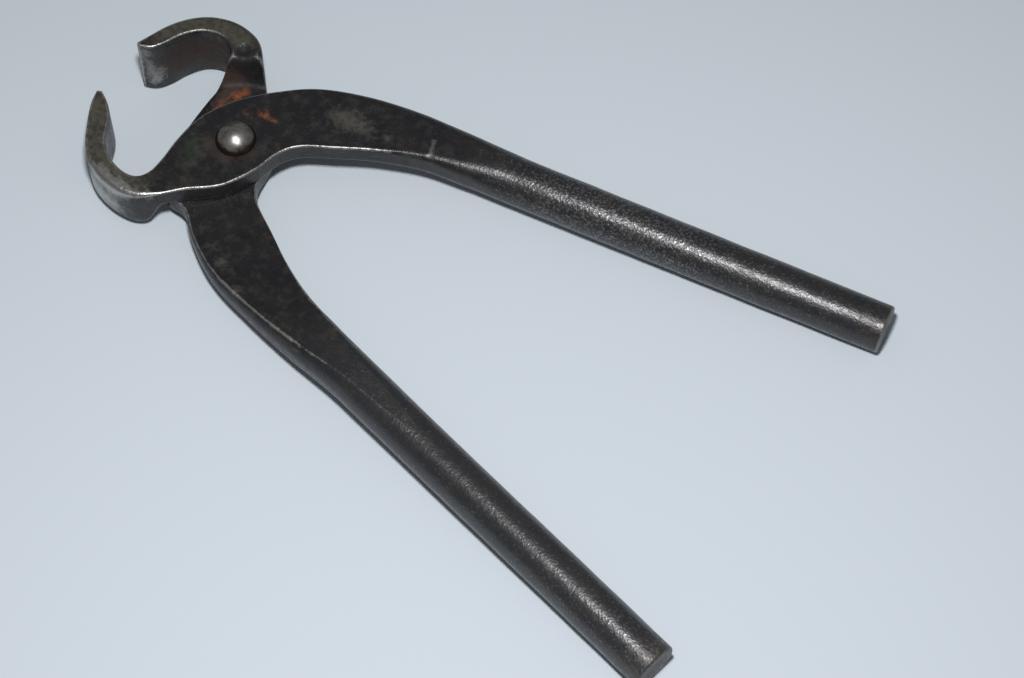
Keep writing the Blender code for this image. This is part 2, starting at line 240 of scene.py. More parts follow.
BACK_PATCHES = [
    Patch("rust", (-13.2, 6.9, 12.0), 1.5, 0.95),
    Patch("rust", (-12.4, 9.8, 12.0), 1.6, 1.0),
    Patch("rust", (-11.1, 13.3, 12.0), 1.7, 1.0),
    Patch("rust", (-9.9, 16.6, 12.0), 1.7, 0.95),
    Patch("browned_and_shaded", (-14.0, 10.0, 12.0), 3.5, 0.7),
    Patch("browned_and_shaded", (-12.5, 17.0, 13.0), 4.0, 0.7),
    # Painted shade with some grime at the foot of the neck's slope, by the lap.
    Patch("grimy_and_shaded", (-8.5, 20.0, 12.5), 4.0, 0.5),
    Patch("browned_and_shaded", (-20.0, 20.0, 12.0), 6.5, 1.0),
    Patch("browned_and_shaded", (-27.0, 18.0, 11.0), 7.5, 1.0),
    Patch("browned_and_shaded", (-32.0, 13.0, 11.0), 5.0, 0.8),
    # Painted shade on the back cheek's corner that lies under the front lever's side.
    Patch("browned_and_shaded", (-9.0, -20.5, 12.0), 4.0, 0.9),
    Patch("browned_and_shaded", (-13.5, -14.0, 12.0), 4.0, 0.8),
    Patch("bared", (-36.0, 13.5, 21.0), 5.0, 0.9),
    Patch("bared", (-32.0, 19.5, 21.0), 6.0, 1.0),
    Patch("bared", (-25.0, 24.5, 21.0), 6.0, 1.0),
    Patch("bared", (-17.5, 26.0, 21.0), 5.5, 0.9),
    Patch("flaked", (-22.0, 25.5, 21.0), 4.0, 0.5),
    Patch("flaked", (12.3, -26.7, 12.5), 2.2, 0.85),
    Patch("flaked", (17.7, -29.4, 13.0), 2.4, 0.9),
    Patch("flaked", (26.0, -34.3, 14.0), 2.4, 0.9),
    Patch("flaked", (36.0, -37.0, 15.6), 3.0, 0.5),
    Patch("flaked", (-35.6, 9.0, 17.0), 4.5, 0.9),
    Patch("flaked", (-35.0, 9.6, 9.0), 5.0, 0.9),
    Patch("worn", (-37.0, 7.2, 18.0), 3.2, 0.8),
    Patch("worn", (-36.4, 8.2, 12.0), 3.6, 0.75),
    Patch("worn", (-35.8, 9.0, 5.0), 3.6, 0.85),
    Patch("worn", (-34.6, 10.6, 9.0), 3.0, 0.45),
    Patch("worn", (22.4, -34.0, 13.5), 4.0, 0.26),
    Patch("worn", (29.0, -36.1, 14.5), 4.0, 0.26),
    Patch("worn", (36.0, -38.0, 15.2), 4.0, 0.26),
    Patch("worn", (43.0, -39.3, 15.9), 4.0, 0.26),
    Patch("worn", (50.0, -40.3, 16.4), 4.0, 0.3),
    Patch("worn", (57.0, -41.2, 16.9), 4.0, 0.34),
    Patch("worn", (64.0, -42.2, 17.3), 4.0, 0.34),
    Patch("worn", (-14.7, 19.9, 14.0), 1.8, 0.9),
    # Painted shade with grime in the hammered pit on the neck and down its slope.
    Patch("grimy_and_shaded", (-14.6, 22.4, 20.6), 2.2, 1.0),
    Patch("grimy_and_shaded", (-12.6, 19.6, 17.0), 3.0, 0.5),
    # Darker end of the back handle, with no bright wear on its rim.
    Patch("browned_and_shaded", (171.0, -56.5, 12.0), 7.0, 1.0),
]

# How hands have worn each handle, against millimetres along it from the rivet: first how
# much its scale is rubbed to bright grains, then how smooth and glossy it is rubbed.
RUBBED_ALONG = (42.0, 62.0, 78.0, 110.0, 140.0, 172.0)
FRONT_HANDLING = ((0.1, 0.6, 0.9, 0.9, 0.6, 0.4), (0.2, 0.55, 0.6, 0.6, 0.7, 0.7))
BACK_HANDLING = ((0.0, 0.3, 0.45, 0.5, 0.6, 0.7), (0.2, 0.7, 0.9, 1.0, 1.0, 1.0))

# A dimple is a place hammered in: plan place, height, radius and depth in millimetres.
Dimple = namedtuple("Dimple", "place radius depth")

FRONT_DIMPLES = [
    Dimple((41.8, 33.2, 18.3), 0.6, 0.12),
    Dimple((42.6, 31.3, 18.5), 0.6, 0.14),
    Dimple((43.4, 29.5, 18.5), 0.7, 0.16),
    Dimple((44.2, 27.7, 18.5), 0.6, 0.14),
    Dimple((45.0, 26.0, 18.2), 0.6, 0.12),
    Dimple((9.0, 21.0, 18.5), 1.6, 0.12),
    Dimple((-8.0, -9.0, 18.5), 1.8, 0.12),
]

BACK_DIMPLES = [
    Dimple((-14.6, 22.4, 20.6), 1.9, 1.1),
    Dimple((-18.5, 26.5, 21.0), 1.2, 0.2),
    Dimple((18.2, -22.6, 12.4), 1.0, 0.12),
    Dimple((32.3, -29.4, 14.4), 0.9, 0.16),
]


def handle_stations(reach):
    """The straight round part of a handle up to its end."""
    along = Vector((math.cos(HANDLE_SLOPE), math.sin(HANDLE_SLOPE)))
    across = Vector((-along.y, along.x)) * HANDLE_RADIUS
    stations = []
    for x in (HANDLE_ROUND_FROM, HANDLE_ROUND_FROM + HANDLE_FIRST_RUN, reach):
        axis = Vector((x, HANDLE_OFFSET + x * math.tan(HANDLE_SLOPE)))
        stations.append(
            Station(
                tuple(axis + across),
                tuple(axis - across),
                -HANDLE_RADIUS,
                HANDLE_RADIUS,
                *[HANDLE_RADIUS] * 4,
            )
        )
    return stations


def station_row(station):
    """A station as one row of numbers: inner, outer, back, front and the four radii."""
    return np.array([*station.inner, *station.outer, *station[2:]], float)


def smooth_row(rows, index, t):
    """A row of the Catmull-Rom curve through the plan points, with straight heights and radii."""
    last = len(rows) - 1
    before, start, end, after = (rows[max(0, min(last, index + step))] for step in (-1, 0, 1, 2))
    curved = 0.5 * (
        2 * start
        + (end - before) * t
        + (2 * before - 5 * start + 4 * end - after) * t**2
        + (3 * start - before - 3 * end + after) * t**3
    )
    straight = start + (end - start) * t
    straight[:4] = curved[:4]
    return straight


def blurred(rows, reach):
    """The rows averaged along the lever, so that no crease shows where the stations stood."""
    padded = np.concatenate([np.repeat(rows[:1], reach, 0), rows, np.repeat(rows[-1:], reach, 0)])
    weights = np.hanning(2 * reach + 3)[1:-1]
    weights /= weights.sum()
    return sum(w * padded[i : i + len(rows)] for i, w in enumerate(weights))


def lever_rows(stations, reach):
    """Closely spaced cross-sections of a lever, jaw tip first."""
    straight = handle_stations(reach)
    rows = [station_row(s) for s in stations + straight[:2]]
    dense = []
    for index in range(len(stations)):
        middle, following = (r[:2] + r[2:4] for r in rows[index : index + 2])
        steps = max(2, round(np.linalg.norm(following - middle) / 2 / RING_SPACING))
        dense += [smooth_row(rows, index, step / steps) for step in range(steps)]
    dense = blurred(np.array(dense + [rows[-2]]), round(BLUR_LENGTH / RING_SPACING))
    start, end = rows[-2], station_row(straight[-1])
    steps = round((reach - HANDLE_ROUND_FROM) / HANDLE_SPACING)
    run = [start + (end - start) * step / steps for step in range(1, steps + 1)]
    return np.concatenate([dense, run])


def quarter(near, far, radius):
    """A quarter of a rounded section, from the end of its near half axis to just short of
    the end of its far one, as distances along the two."""
    near_round, far_round = min(radius, near), min(radius, far)
    run_in, run_out = far - far_round, near - near_round
    corner = (near_round + far_round) / 2 * math.pi / 2 + CORNER_SHARE
    travel = (run_in + corner + run_out) * np.arange(QUARTER_POINTS) / QUARTER_POINTS
    turn = np.clip((travel - run_in) / corner, 0, 1) * math.pi / 2
    past = np.clip(travel - run_in - corner, 0, None)
    along_near = run_out + near_round * np.cos(turn) - past
    along_far = np.minimum(travel, run_in) + far_round * np.sin(turn)
    return along_near, along_far


def section(row, struck):
    """One cross-section's outline as points in millimetres from the rivet, once round."""
    inner, outer = row[:2], row[2:4]
    back, front = row[4] - struck, row[5]
    front_in, front_out, back_in, back_out = row[6:]
    half_width = np.linalg.norm(inner - outer) / 2
    half_height = (front - back) / 2
    across = (inner - outer) / (2 * half_width)
    points = []
    for from_side, side, level, radius in (
        (True, 1, 1, front_in),
        (False, -1, 1, front_out),
        (True, -1, -1, back_out),
        (False, 1, -1, back_in),
    ):
        if from_side:
            reach, height = quarter(half_width, half_height, radius)
        else:
            height, reach = quarter(half_height, half_width, radius)
        plan = (inner + outer) / 2 + np.outer(side * reach, across)
        points.append(np.column_stack([plan, (front + back) / 2 + level * height]))
    made = np.concatenate(points)
    made[:, 2] = np.maximum(made[:, 2], row[4])
    return made


def seated(points, row, seat_radius):
    """The points squeezed towards the front where the other lever's cheek turns behind them."""
    back, front = row[4:6]
    beyond = np.clip(np.hypot(points[:, 0], points[:, 1]) - seat_radius, 0, None)
    slope = LAP_CLEARANCE - SEAT_SLOPE * beyond**3 / (beyond**2 + SEAT_FILLET**2)
    soft = np.clip((LAP_CLEARANCE - back) / SEAT_SHARE, SEAT_SHARPEST, SEAT_SOFTNESS)
    lowest = back + soft * np.logaddexp(0, (slope - back) / soft)
    made = points.copy()
    made[:, 2] = front - (front - points[:, 2]) * (front - lowest) / (front - back)
    return made


def capped(ring, direction, chamfer):
    """Rings that close an end: a rounded rim, then ever smaller rings across the end face."""
    middle = ring.mean(0)
    reach = np.linalg.norm((ring - middle)[:, :2], axis=1).max()
    tall = np.abs((ring - middle)[:, 2]).max()
    rings = []
    for step in range(1, CAP_RINGS + 1):
        turn = min(1.0, step / CAP_RIM_RINGS) * math.pi / 2
        inset = chamfer * (1 - math.cos(turn))
        rise = chamfer * math.sin(turn)
        shrink = 1 - max(0, step - CAP_RIM_RINGS) / (CAP_RINGS - 2)
        flat = 1 - inset / max(reach, inset * 2)
        high = 1 - inset / max(tall, inset * 2)
        made = middle + (ring - middle) * (np.array([flat, flat, high]) * shrink)
        rings.append(made + direction * (rise - chamfer))
    return rings


def lever_skin(stations, reach, seat_radius, struck_depth):
    """All rings of a lever, ends included, in millimetres from the rivet over the lap plane."""
    rings = []
    for row in lever_rows(stations, reach):
        struck = np.interp((row[0] + row[2]) / 2, STRUCK_ALONG, struck_depth)
        rings.append(seated(section(row, struck), row, seat_radius))
    handle = np.array([math.cos(HANDLE_SLOPE), math.sin(HANDLE_SLOPE), 0.0])
    tip = rings[0].mean(0) - rings[2].mean(0)
    tip /= np.linalg.norm(tip)
    end = capped(rings[-1], handle, END_CHAMFER)
    rings[-1] = rings[-1] - handle * END_CHAMFER
    start = capped(rings[0], tip, TIP_CHAMFER)
    return start[::-1] + rings + end


def wrap(shape, grid, ends):
    """Closes a skin round rings of vertices, with a fan to a point at each end."""
    for ring, following in zip(grid, grid[1:]):
        for index, corner in enumerate(ring):
            beside = (index + 1) % len(ring)
            shape.faces.new((corner, ring[beside], following[beside], following[index]))
    for ring, end in zip((grid[0], grid[-1]), ends):
        centre = shape.verts.new(end)
        for index, corner in enumerate(ring):
            shape.faces.new((corner, ring[(index + 1) % len(ring)], centre))


def skin_mesh(name, rings, mirrored):
    """One closed mesh through the rings, in metres in the model's frame."""
    points = np.array(rings)
    if mirrored:
        points = points * np.array([1, -1, -1])
    points = points * MM + np.array([PIVOT.x, PIVOT.y, LAP_HEIGHT])
    shape = bmesh.new()
    grid = [[shape.verts.new(p) for p in ring] for ring in points]
    ends = [sum((v.co for v in ring), Vector()) / len(ring) for ring in (grid[0], grid[-1])]
    wrap(shape, grid, ends)
    bmesh.ops.remove_doubles(shape, verts=shape.verts, dist=MERGE_DISTANCE)
    bmesh.ops.dissolve_degenerate(shape, edges=shape.edges, dist=MERGE_DISTANCE)
    bmesh.ops.recalc_face_normals(shape, faces=shape.faces)
    mesh = bpy.data.meshes.new(name)
    shape.to_mesh(mesh)
    shape.free()
    return mesh


def forged_height(place, settings):
    """How far a point of the surface stands proud of its drawn shape, in metres."""
    lumps = sum(
        share * noise.noise(place / (size * MM) + start) for size, share, start in HAMMER_LUMPS
    )
    return lumps * settings.hammer_depth


def forge(mesh, dimples, settings):
    """Moves the skin off its drawn shape as hammering does, but not on the lapped faces."""
    normals = [v.normal.copy() for v in mesh.vertices]
    for vertex, normal in zip(mesh.vertices, normals):
        place = vertex.co.copy()
        over_lap = abs(place.z - LAP_HEIGHT) / MM
        near = Vector((place.x - PIVOT.x, place.y - PIVOT.y)).length / MM
        free = 1.0
        if near <= LAP_REACH:
            free = min(1.0, max(0.0, (over_lap - LAP_FLAT) / LAP_FADE))
        rise = forged_height(place, settings) * free
        for dimple in dimples:
            away = (place - PIVOT - Vector(dimple.place) * MM).length / (dimple.radius * MM)
            if away < DIMPLE_REACH:
                rise -= dimple.depth * MM * math.exp(-away * away)
        vertex.co = place + normal * rise


def cut_bore(lever):
    """Cuts the rivet's bore through a lever's cheek."""
    shape = bmesh.new()
    bmesh.ops.create_cone(
        shape,
        cap_ends=True,
        segments=BORE_SEGMENTS,
        radius1=BORE_RADIUS * MM,
        radius2=BORE_RADIUS * MM,
        depth=BORE_LENGTH * MM,
    )
    bmesh.ops.translate(shape, verts=shape.verts, vec=PIVOT + Vector((0, 0, LAP_HEIGHT)))
    mesh = bpy.data.meshes.new("bore")
    shape.to_mesh(mesh)
    shape.free()
    cutter = bpy.data.objects.new("bore", mesh)
    bpy.context.collection.objects.link(cutter)
    modifier = lever.modifiers.new("bore", "BOOLEAN")
    modifier.operation = "DIFFERENCE"
    modifier.solver = "EXACT"
    modifier.object = cutter
    evaluated = lever.evaluated_get(bpy.context.evaluated_depsgraph_get())
    bored = bpy.data.meshes.new_from_object(evaluated)
    lever.modifiers.clear()
    lever.data = bored
    bpy.data.objects.remove(cutter)


def edge_curvature(mesh):
    """How sharply the surface turns outward at each vertex, per millimetre."""
    shape = bmesh.new()
    shape.from_mesh(mesh)
    bent = np.zeros(len(shape.verts))
    area = np.full(len(shape.verts), 1e-12)
    for face in shape.faces:
        share = face.calc_area() / len(face.verts)
        for corner in face.verts:
            area[corner.index] += share
    neighbours = []
    for edge in shape.edges:
        first, second = (v.index for v in edge.verts)
        neighbours.append((first, second))
        turn = edge.calc_face_angle_signed(0.0) * edge.calc_length() / 4
        bent[first] += turn
        bent[second] += turn
    shape.free()
    curvature = bent / area * MM
    pairs = np.array(neighbours)
    count = np.bincount(pairs.ravel(), minlength=len(curvature))
    for _ in range(EDGE_SMOOTHINGS):
        total = curvature.copy()
        np.add.at(total, pairs[:, 0], curvature[pairs[:, 1]])
        np.add.at(total, pairs[:, 1], curvature[pairs[:, 0]])
        curvature = total / (count + 1)
    return curvature


def mark_ages(mesh, patches, rubbed, polished):
    """Writes where the surface has aged, and how, and where shade is painted, as attributes from 0
    to MOST_MARK.
    """
    places = (np.array([v.co for v in mesh.vertices]) - np.array(PIVOT)) / MM
    facing = np.array([v.normal.z for v in mesh.vertices])
    kinds = ("rust", "flaked", "worn", "browned_and_shaded", "greened", "bared", "grimy_and_shaded")
    values = {kind: np.zeros(len(places)) for kind in kinds}
    for patch in patches:
        away = np.linalg.norm(places - np.array(patch.place), axis=1) / patch.radius
        values[patch.mark] += patch.strength * np.exp(-away * away)
    values["bared"] *= np.interp(facing, BARED_FACING, (0, 1))
    values["rubbed"] = np.interp(places[:, 0], RUBBED_ALONG, rubbed)
    values["polished"] = np.interp(places[:, 0], RUBBED_ALONG, polished)
    values["edge"] = np.clip((edge_curvature(mesh) - EDGE_STARTS) / EDGE_RISE, 0, 1)
    for kind, amounts in values.items():
        attribute = mesh.attributes.new(kind, "FLOAT", "POINT")
        attribute.data.foreach_set("value", np.clip(amounts, 0, MOST_MARK).astype(np.float32))


def finish_lever(name, skin, mirrored, patches, dimples, handling, settings):
    """Makes a lever from its skin: forged, bored, marked with its ages and smooth."""
    mesh = skin_mesh(name, skin, mirrored)
    forge(mesh, dimples, settings)
    lever = bpy.data.objects.new(name, mesh)
    bpy.context.collection.objects.link(lever)
    cut_bore(lever)
    mark_ages(lever.data, patches, *handling)
    lever.data.shade_smooth()
    lever.data.set_sharp_from_angle(angle=SMOOTH_UNDER)
    return lever


# ---------------------------------------------------------------- materials

# Sizes of the patterns on the tool, in metres, as judged. On the levers: clouds of
# tint, flecks of scale, lumps left by the hammer, blotches of thin scale and pits.
CLOUD_SIZE = 7 * MM
FLECK_SIZE = 1.4 * MM
LUMP_SIZE = 2.6 * MM
BLOTCH_SIZE = 3.2 * MM
PIT_SIZE = 1.3 * MM

# On the rivet: tarnish and scratched grain. On the card: fibres. The card's fibres and the
# rivet's grain are drawn coarser than they are, as real ones are too fine to show.
TARNISH_SIZE = 2.4 * MM
RIVET_GRAIN_SIZE = 0.5 * MM
RIVET_RELIEF = 0.09 * MM
FIBRE_SIZE = 0.8 * MM
FIBRE_RELIEF = 0.02 * MM


def linear(hex_colour):
    """An sRGB hex colour as linear red, green and blue."""
    parts = [int(hex_colour[i : i + 2], 16) / 255 for i in (1, 3, 5)]
    return tuple(p / 12.92 if p <= 0.04045 else ((p + 0.055) / 1.055) ** 2.4 for p in parts)


def add(tree, kind, inputs=None, **settings):
    """Adds a node, sets its own values and fills its inputs with values or links."""
    node = tree.nodes.new(kind)
    for name, value in settings.items():
        setattr(node, name, value)
    for name, value in (inputs or {}).items():
        if isinstance(value, bpy.types.NodeSocket):
            tree.links.new(value, node.inputs[name])
        else:
            node.inputs[name].default_value = value
    return node


def new_material(name):
    """A new material with its node tree and its shader."""
    material = bpy.data.materials.new(name)
    material.use_nodes = True
    tree = material.node_tree
    return material, tree, tree.nodes["Principled BSDF"]


def pattern(tree, place, size, detail=4.0, roughness=0.55, distortion=0.0):
    """Cloudy noise whose lumps are about `size` metres across."""
    inputs = {
        "Vector": place,
        "Scale": 1 / size,
        "Detail": detail,
        "Roughness": roughness,
        "Distortion": distortion,
    }
    return add(tree, "ShaderNodeTexNoise", inputs).outputs["Fac"]


def between(tree, value, low, high, to_low=0.0, to_high=1.0):
    """A value stretched from low..high to to_low..to_high and held there."""
    inputs = {
        "Value": value,
        "From Min": low,
        "From Max": high,
        "To Min": to_low,
        "To Max": to_high,
    }
    return add(tree, "ShaderNodeMapRange", inputs, clamp=True).outputs["Result"]


def maths(tree, operation, first, second):
    """Two numbers joined by an operation."""
    return add(tree, "ShaderNodeMath", {0: first, 1: second}, operation=operation).outputs[0]


def mixed(tree, amount, first, second):
    """Two colours mixed by an amount from 0 to 1."""
    node = add(tree, "ShaderNodeMix", {0: amount}, data_type="RGBA")
    for index, value in ((6, first), (7, second)):
        if isinstance(value, bpy.types.NodeSocket):
            tree.links.new(value, node.inputs[index])
        else:
            node.inputs[index].default_value = (*value, 1.0)
    return node.outputs[2]


def mark(tree, name):
    """The amount of a mark that is written on the mesh."""
    return add(tree, "ShaderNodeAttribute", attribute_name=name).outputs["Fac"]


def shown(tree, amount, strength, ragged, low, high):
    """Where a mark shows once the ragged noise has eaten into its border."""
    raised = maths(tree, "MULTIPLY", amount, strength)
    return between(tree, maths(tree, "ADD", raised, ragged), low, high)


def forged_steel(name, settings):
    """Carbon steel forged by hand and quenched in oil.

    The black scale is hard and slightly glossy, so it shows dark with a grainy highlight.
    It is ground off the jaws' faces, flaked in patches, rubbed to bright grains on the
    handles and to grey metal on the edges, and rusts where water stays: at the lap. Old
    brown oxide and oily grime darken it, and the same brown and near black are laid on as
    painted shade in the pit, at the lap, round the rivet's foot and under the front lever.
    The grains are drawn coarser than real scale's, which are too fine to show.
    """
    material, tree, shader = new_material(name)
    place = add(tree, "ShaderNodeTexCoord").outputs["Object"]

    cloud = pattern(tree, place, CLOUD_SIZE, 6.0, 0.62)
    fleck = pattern(tree, place, FLECK_SIZE, 4.0, 0.6)
    grain = pattern(tree, place, settings.grain_size, 2.0, 0.5)
    lump = pattern(tree, place, LUMP_SIZE, 3.0, 0.55)
    ragged = maths(tree, "ADD", fleck, maths(tree, "MULTIPLY", cloud, 0.6))

    brown = between(tree, cloud, 0.46, 0.66)
    green = shown(tree, mark(tree, "greened"), 1.0, ragged, 1.0, 1.9)
    colour = mixed(tree, brown, settings.scale_black, settings.scale_brown)
    colour = mixed(tree, green, colour, settings.scale_green)
    polished = mark(tree, "polished")
    blotch = between(tree, pattern(tree, place, BLOTCH_SIZE, 6.0, 0.68), 0.5, 0.7, 0.0, 0.62)
    blotch = maths(tree, "MULTIPLY", blotch, between(tree, polished, 0, 1, 1.0, 0.15))
    colour = mixed(tree, blotch, colour, settings.flaked_grey)

    bared = shown(tree, mark(tree, "bared"), 1.0, ragged, 0.95, 2.0)
    mottled = between(tree, ragged, 0.64, 0.96, 0.5, 1.0)
    ground = mixed(tree, mottled, settings.scale_brown, settings.bared_brown)
    colour = mixed(tree, bared, colour, ground)
    # Old brown oxide inside the jaws and round the lap, and painted shade on the back cheek under
    # the front lever.
    browned_and_shaded = shown(tree, mark(tree, "browned_and_shaded"), 1.0, ragged, 0.95, 1.6)
    colour = mixed(tree, browned_and_shaded, colour, settings.old_brown_and_shade)
    flaked = shown(tree, mark(tree, "flaked"), settings.flaking, ragged, 1.0, 1.5)
    colour = mixed(tree, flaked, colour, settings.flaked_grey)

    rubbed = shown(tree, mark(tree, "rubbed"), settings.hand_wear, grain, 0.76, 1.1)
    rubbed = maths(tree, "MAXIMUM", rubbed, maths(tree, "MULTIPLY", polished, 0.05))
    colour = mixed(tree, rubbed, colour, settings.hand_steel)
    edge = maths(tree, "MULTIPLY", mark(tree, "edge"), settings.edge_wear)
    edge = maths(tree, "MULTIPLY", edge, maths(tree, "SUBTRACT", 1.0, browned_and_shaded))
    worn = maths(tree, "ADD", edge, maths(tree, "MULTIPLY", mark(tree, "worn"), 0.8))
    worn = shown(tree, worn, 1.0, ragged, 1.2, 1.8)
    colour = mixed(tree, worn, colour, settings.bare_steel)

    rust = shown(tree, mark(tree, "rust"), settings.rusting, ragged, 1.12, 1.75)
    rust_tone = mixed(tree, between(tree, fleck, 0.38, 0.62), settings.rust_dark, settings.rust)
    colour = mixed(tree, rust, colour, rust_tone)
    # Near black over the hollows: oily grime, and painted shade in the pit, at the lap and round the
    # rivet's foot.
    grimy_and_shaded = shown(tree, mark(tree, "grimy_and_shaded"), 1.0, ragged, 0.95, 1.35)
    colour = mixed(tree, grimy_and_shaded, colour, settings.grime_and_shade)
    tree.links.new(colour, shader.inputs["Base Color"])
    gloss = between(tree, polished, 0, 1, settings.scale_gloss, settings.hand_gloss)
    tree.links.new(gloss, shader.inputs["Specular IOR Level"])

    bare = maths(tree, "MAXIMUM", worn, rubbed)
    metal = between(tree, bare, 0, 1, settings.scale_metallic, 1.0)
    dull = maths(tree, "MAXIMUM", maths(tree, "MAXIMUM", rust, browned_and_shaded), grimy_and_shaded)
    metal = maths(tree, "MULTIPLY", metal, between(tree, dull, 0, 1, 1.0, 0.2))
    tree.links.new(metal, shader.inputs["Metallic"])
    smooth, coarse = settings.scale_roughness - 0.06, settings.scale_roughness + 0.09
    rough = between(tree, fleck, 0.3, 0.7, smooth, coarse)
    rough = maths(tree, "ADD", rough, maths(tree, "MULTIPLY", flaked, 0.16))
    rough = maths(tree, "ADD", rough, maths(tree, "MULTIPLY", dull, 0.3))
    rough = maths(tree, "SUBTRACT", rough, maths(tree, "MULTIPLY", polished, 0.05))
    tree.links.new(rough, shader.inputs["Roughness"])

    pits = add(
        tree,
        "ShaderNodeTexVoronoi",
        {"Vector": place, "Scale": 1 / PIT_SIZE, "Randomness": 1.0},
    ).outputs["Distance"]
    pits = between(tree, pits, 0.0, 0.28)
    relief = maths(tree, "ADD", grain, maths(tree, "MULTIPLY", lump, 0.9))
    relief = maths(tree, "ADD", relief, maths(tree, "MULTIPLY", pits, 0.22))
    relief = maths(tree, "ADD", relief, maths(tree, "MULTIPLY", rust, 0.25))
    left = between(tree, polished, 0, 1, 1.0, 0.7)
    bump = add(
        tree,
        "ShaderNodeBump",
        {"Height": relief, "Distance": settings.grain_depth, "Strength": left},
    )
    tree.links.new(bump.outputs["Normal"], shader.inputs["Normal"])
    return material


def handled_steel(name, settings):
    """Mild steel rivet head, hammered round and polished by years of handling.

    It keeps a soft metal shine on top. Round its foot it is darkened: brown oxide, and painted shade
    where the head meets the cheek.
    """
    material, tree, shader = new_material(name)
    place = add(tree, "ShaderNodeTexCoord").outputs["Object"]
    cloud = pattern(tree, place, TARNISH_SIZE, 5.0, 0.6)
    grain = pattern(tree, place, RIVET_GRAIN_SIZE, 2.0, 0.5)
    # Darker towards the foot: brown oxide, and painted shade where the head meets the cheek.
    foot = maths(tree, "ADD", mark(tree, "foot"), maths(tree, "MULTIPLY", cloud, 0.5))
    foot = between(tree, foot, 0.4, 0.85)
    tone = mixed(tree, between(tree, cloud, 0.4, 0.62), settings.steel, settings.tarnish)
    colour = mixed(tree, foot, tone, settings.foot_brown_and_shade)
    tree.links.new(colour, shader.inputs["Base Color"])
    tree.links.new(between(tree, foot, 0, 1, 0.95, 0.55), shader.inputs["Metallic"])
    tree.links.new(between(tree, cloud, 0.3, 0.7, 0.34, 0.46), shader.inputs["Roughness"])
    relief = maths(tree, "ADD", cloud, maths(tree, "MULTIPLY", grain, 0.35))
    bump = add(tree, "ShaderNodeBump", {"Height": relief, "Distance": RIVET_RELIEF})
    tree.links.new(bump.outputs["Normal"], shader.inputs["Normal"])
    return material


def matte_card(name, colour):
    """Pale uncoated card: matte, with a fine even fibre."""
    material, tree, shader = new_material(name)
    place = add(tree, "ShaderNodeTexCoord").outputs["Object"]
    fibre = pattern(tree, place, FIBRE_SIZE, 3.0, 0.6)
    shader.inputs["Base Color"].default_value = (*colour, 1.0)
    shader.inputs["Roughness"].default_value = 0.85
    bump = add(tree, "ShaderNodeBump", {"Height": fibre, "Distance": FIBRE_RELIEF})
    tree.links.new(bump.outputs["Normal"], shader.inputs["Normal"])
    return material


# ---------------------------------------------------------------- settings


def colour_setting(name, description, hex_colour):
    """A colour that a user may change, given as sRGB hex."""
    return FloatVectorProperty(
        name=name, description=description, subtype="COLOR", min=0, max=1,
        default=linear(hex_colour),
    )


def length_setting(name, description, default):
    """A length that a user may change, in metres."""
    return FloatProperty(
        name=name, description=description, default=default, min=0, precision=5,
        subtype="DISTANCE", unit="LENGTH",
    )


class LeverSettings(bpy.types.PropertyGroup):
    """Surface of the two forged levers"""

    scale_black: colour_setting("Scale", "Black forge scale", "#222226")
    scale_brown: colour_setting("Brown scale", "Scale tinted by old oil", "#2c2927")
    scale_green: colour_setting("Green scale", "Scale tinted by damp", "#364231")
    flaked_grey: colour_setting("Flaked", "Dull grey under flaked scale", "#4e4c46")
    bared_brown: colour_setting("Bared", "Brown-grey of the ground jaw faces", "#59564c")
    # Old brown oxide, also laid on as painted shade under the front lever's side.
    old_brown_and_shade: colour_setting("Old brown", "Dark brown oxide inside the jaws", "#3c2f2a")
    # Near black for oily grime, and for painted shade in the pit, at the lap and round the rivet's
    # foot.
    grime_and_shade: colour_setting("Grime", "Oily dirt in the hollows", "#1d1c1b")
    bare_steel: colour_setting("Bare steel", "Steel rubbed bare", "#b4b2ae")
    hand_steel: colour_setting("Hand-worn steel", "Steel grains under hand wear", "#949496")
    rust: colour_setting("Rust", "Fresh orange rust", "#a25a28")
    rust_dark: colour_setting("Dark rust", "Old brown rust", "#4a3226")
    hammer_depth: length_setting("Hammer depth", "Unevenness left by the hammer", 0.08 * MM)
    grain_size: length_setting("Grain size", "Size of the scale's grains", 0.62 * MM)
    grain_depth: length_setting("Grain depth", "Relief of the scale's grains", 0.11 * MM)
    scale_roughness: FloatProperty(
        name="Roughness", description="Roughness of the scale", default=0.36, min=0, max=1
    )
    scale_metallic: FloatProperty(
        name="Metallic", description="How metallic the scale looks", default=0.3, min=0, max=1
    )
    scale_gloss: FloatProperty(
        name="Gloss", description="How strongly the scale's skin reflects", default=0.26,
        min=0, max=1,
    )
    hand_gloss: FloatProperty(
        name="Hand gloss", description="How strongly the handles' rubbed skin reflects",
        default=1.0, min=0, max=1,
    )
    edge_wear: FloatProperty(
        name="Edge wear", description="How bare the edges are", default=0.75, min=0, max=2
    )
    hand_wear: FloatProperty(
        name="Hand wear", description="How much the hands have rubbed the handles",
        default=0.31, min=0, max=2,
    )
    flaking: FloatProperty(
        name="Flaking", description="How much scale has flaked off", default=0.55, min=0, max=2
    )
    rusting: FloatProperty(
        name="Rust", description="How rusty the borders of the lap are", default=0.9,
        min=0, max=2,
    )


class RivetSettings(bpy.types.PropertyGroup):
    """The rivet that the levers turn on"""

    steel: colour_setting("Steel", "Polished top of the head", "#aaa8a3")
    tarnish: colour_setting("Tarnish", "Darker patches of the head", "#787570")
    # Dark brown round the foot: oxide, and painted shade where the head meets the cheek.
    foot_brown_and_shade: colour_setting("Foot", "Brown oxide round the foot", "#2c2119")
    hammer_depth: length_setting("Hammer depth", "Unevenness left by the hammer", 0.09 * MM)
    segments: IntProperty(
        name="Segments", description="Faces round the rivet", default=112, min=24, max=256
    )


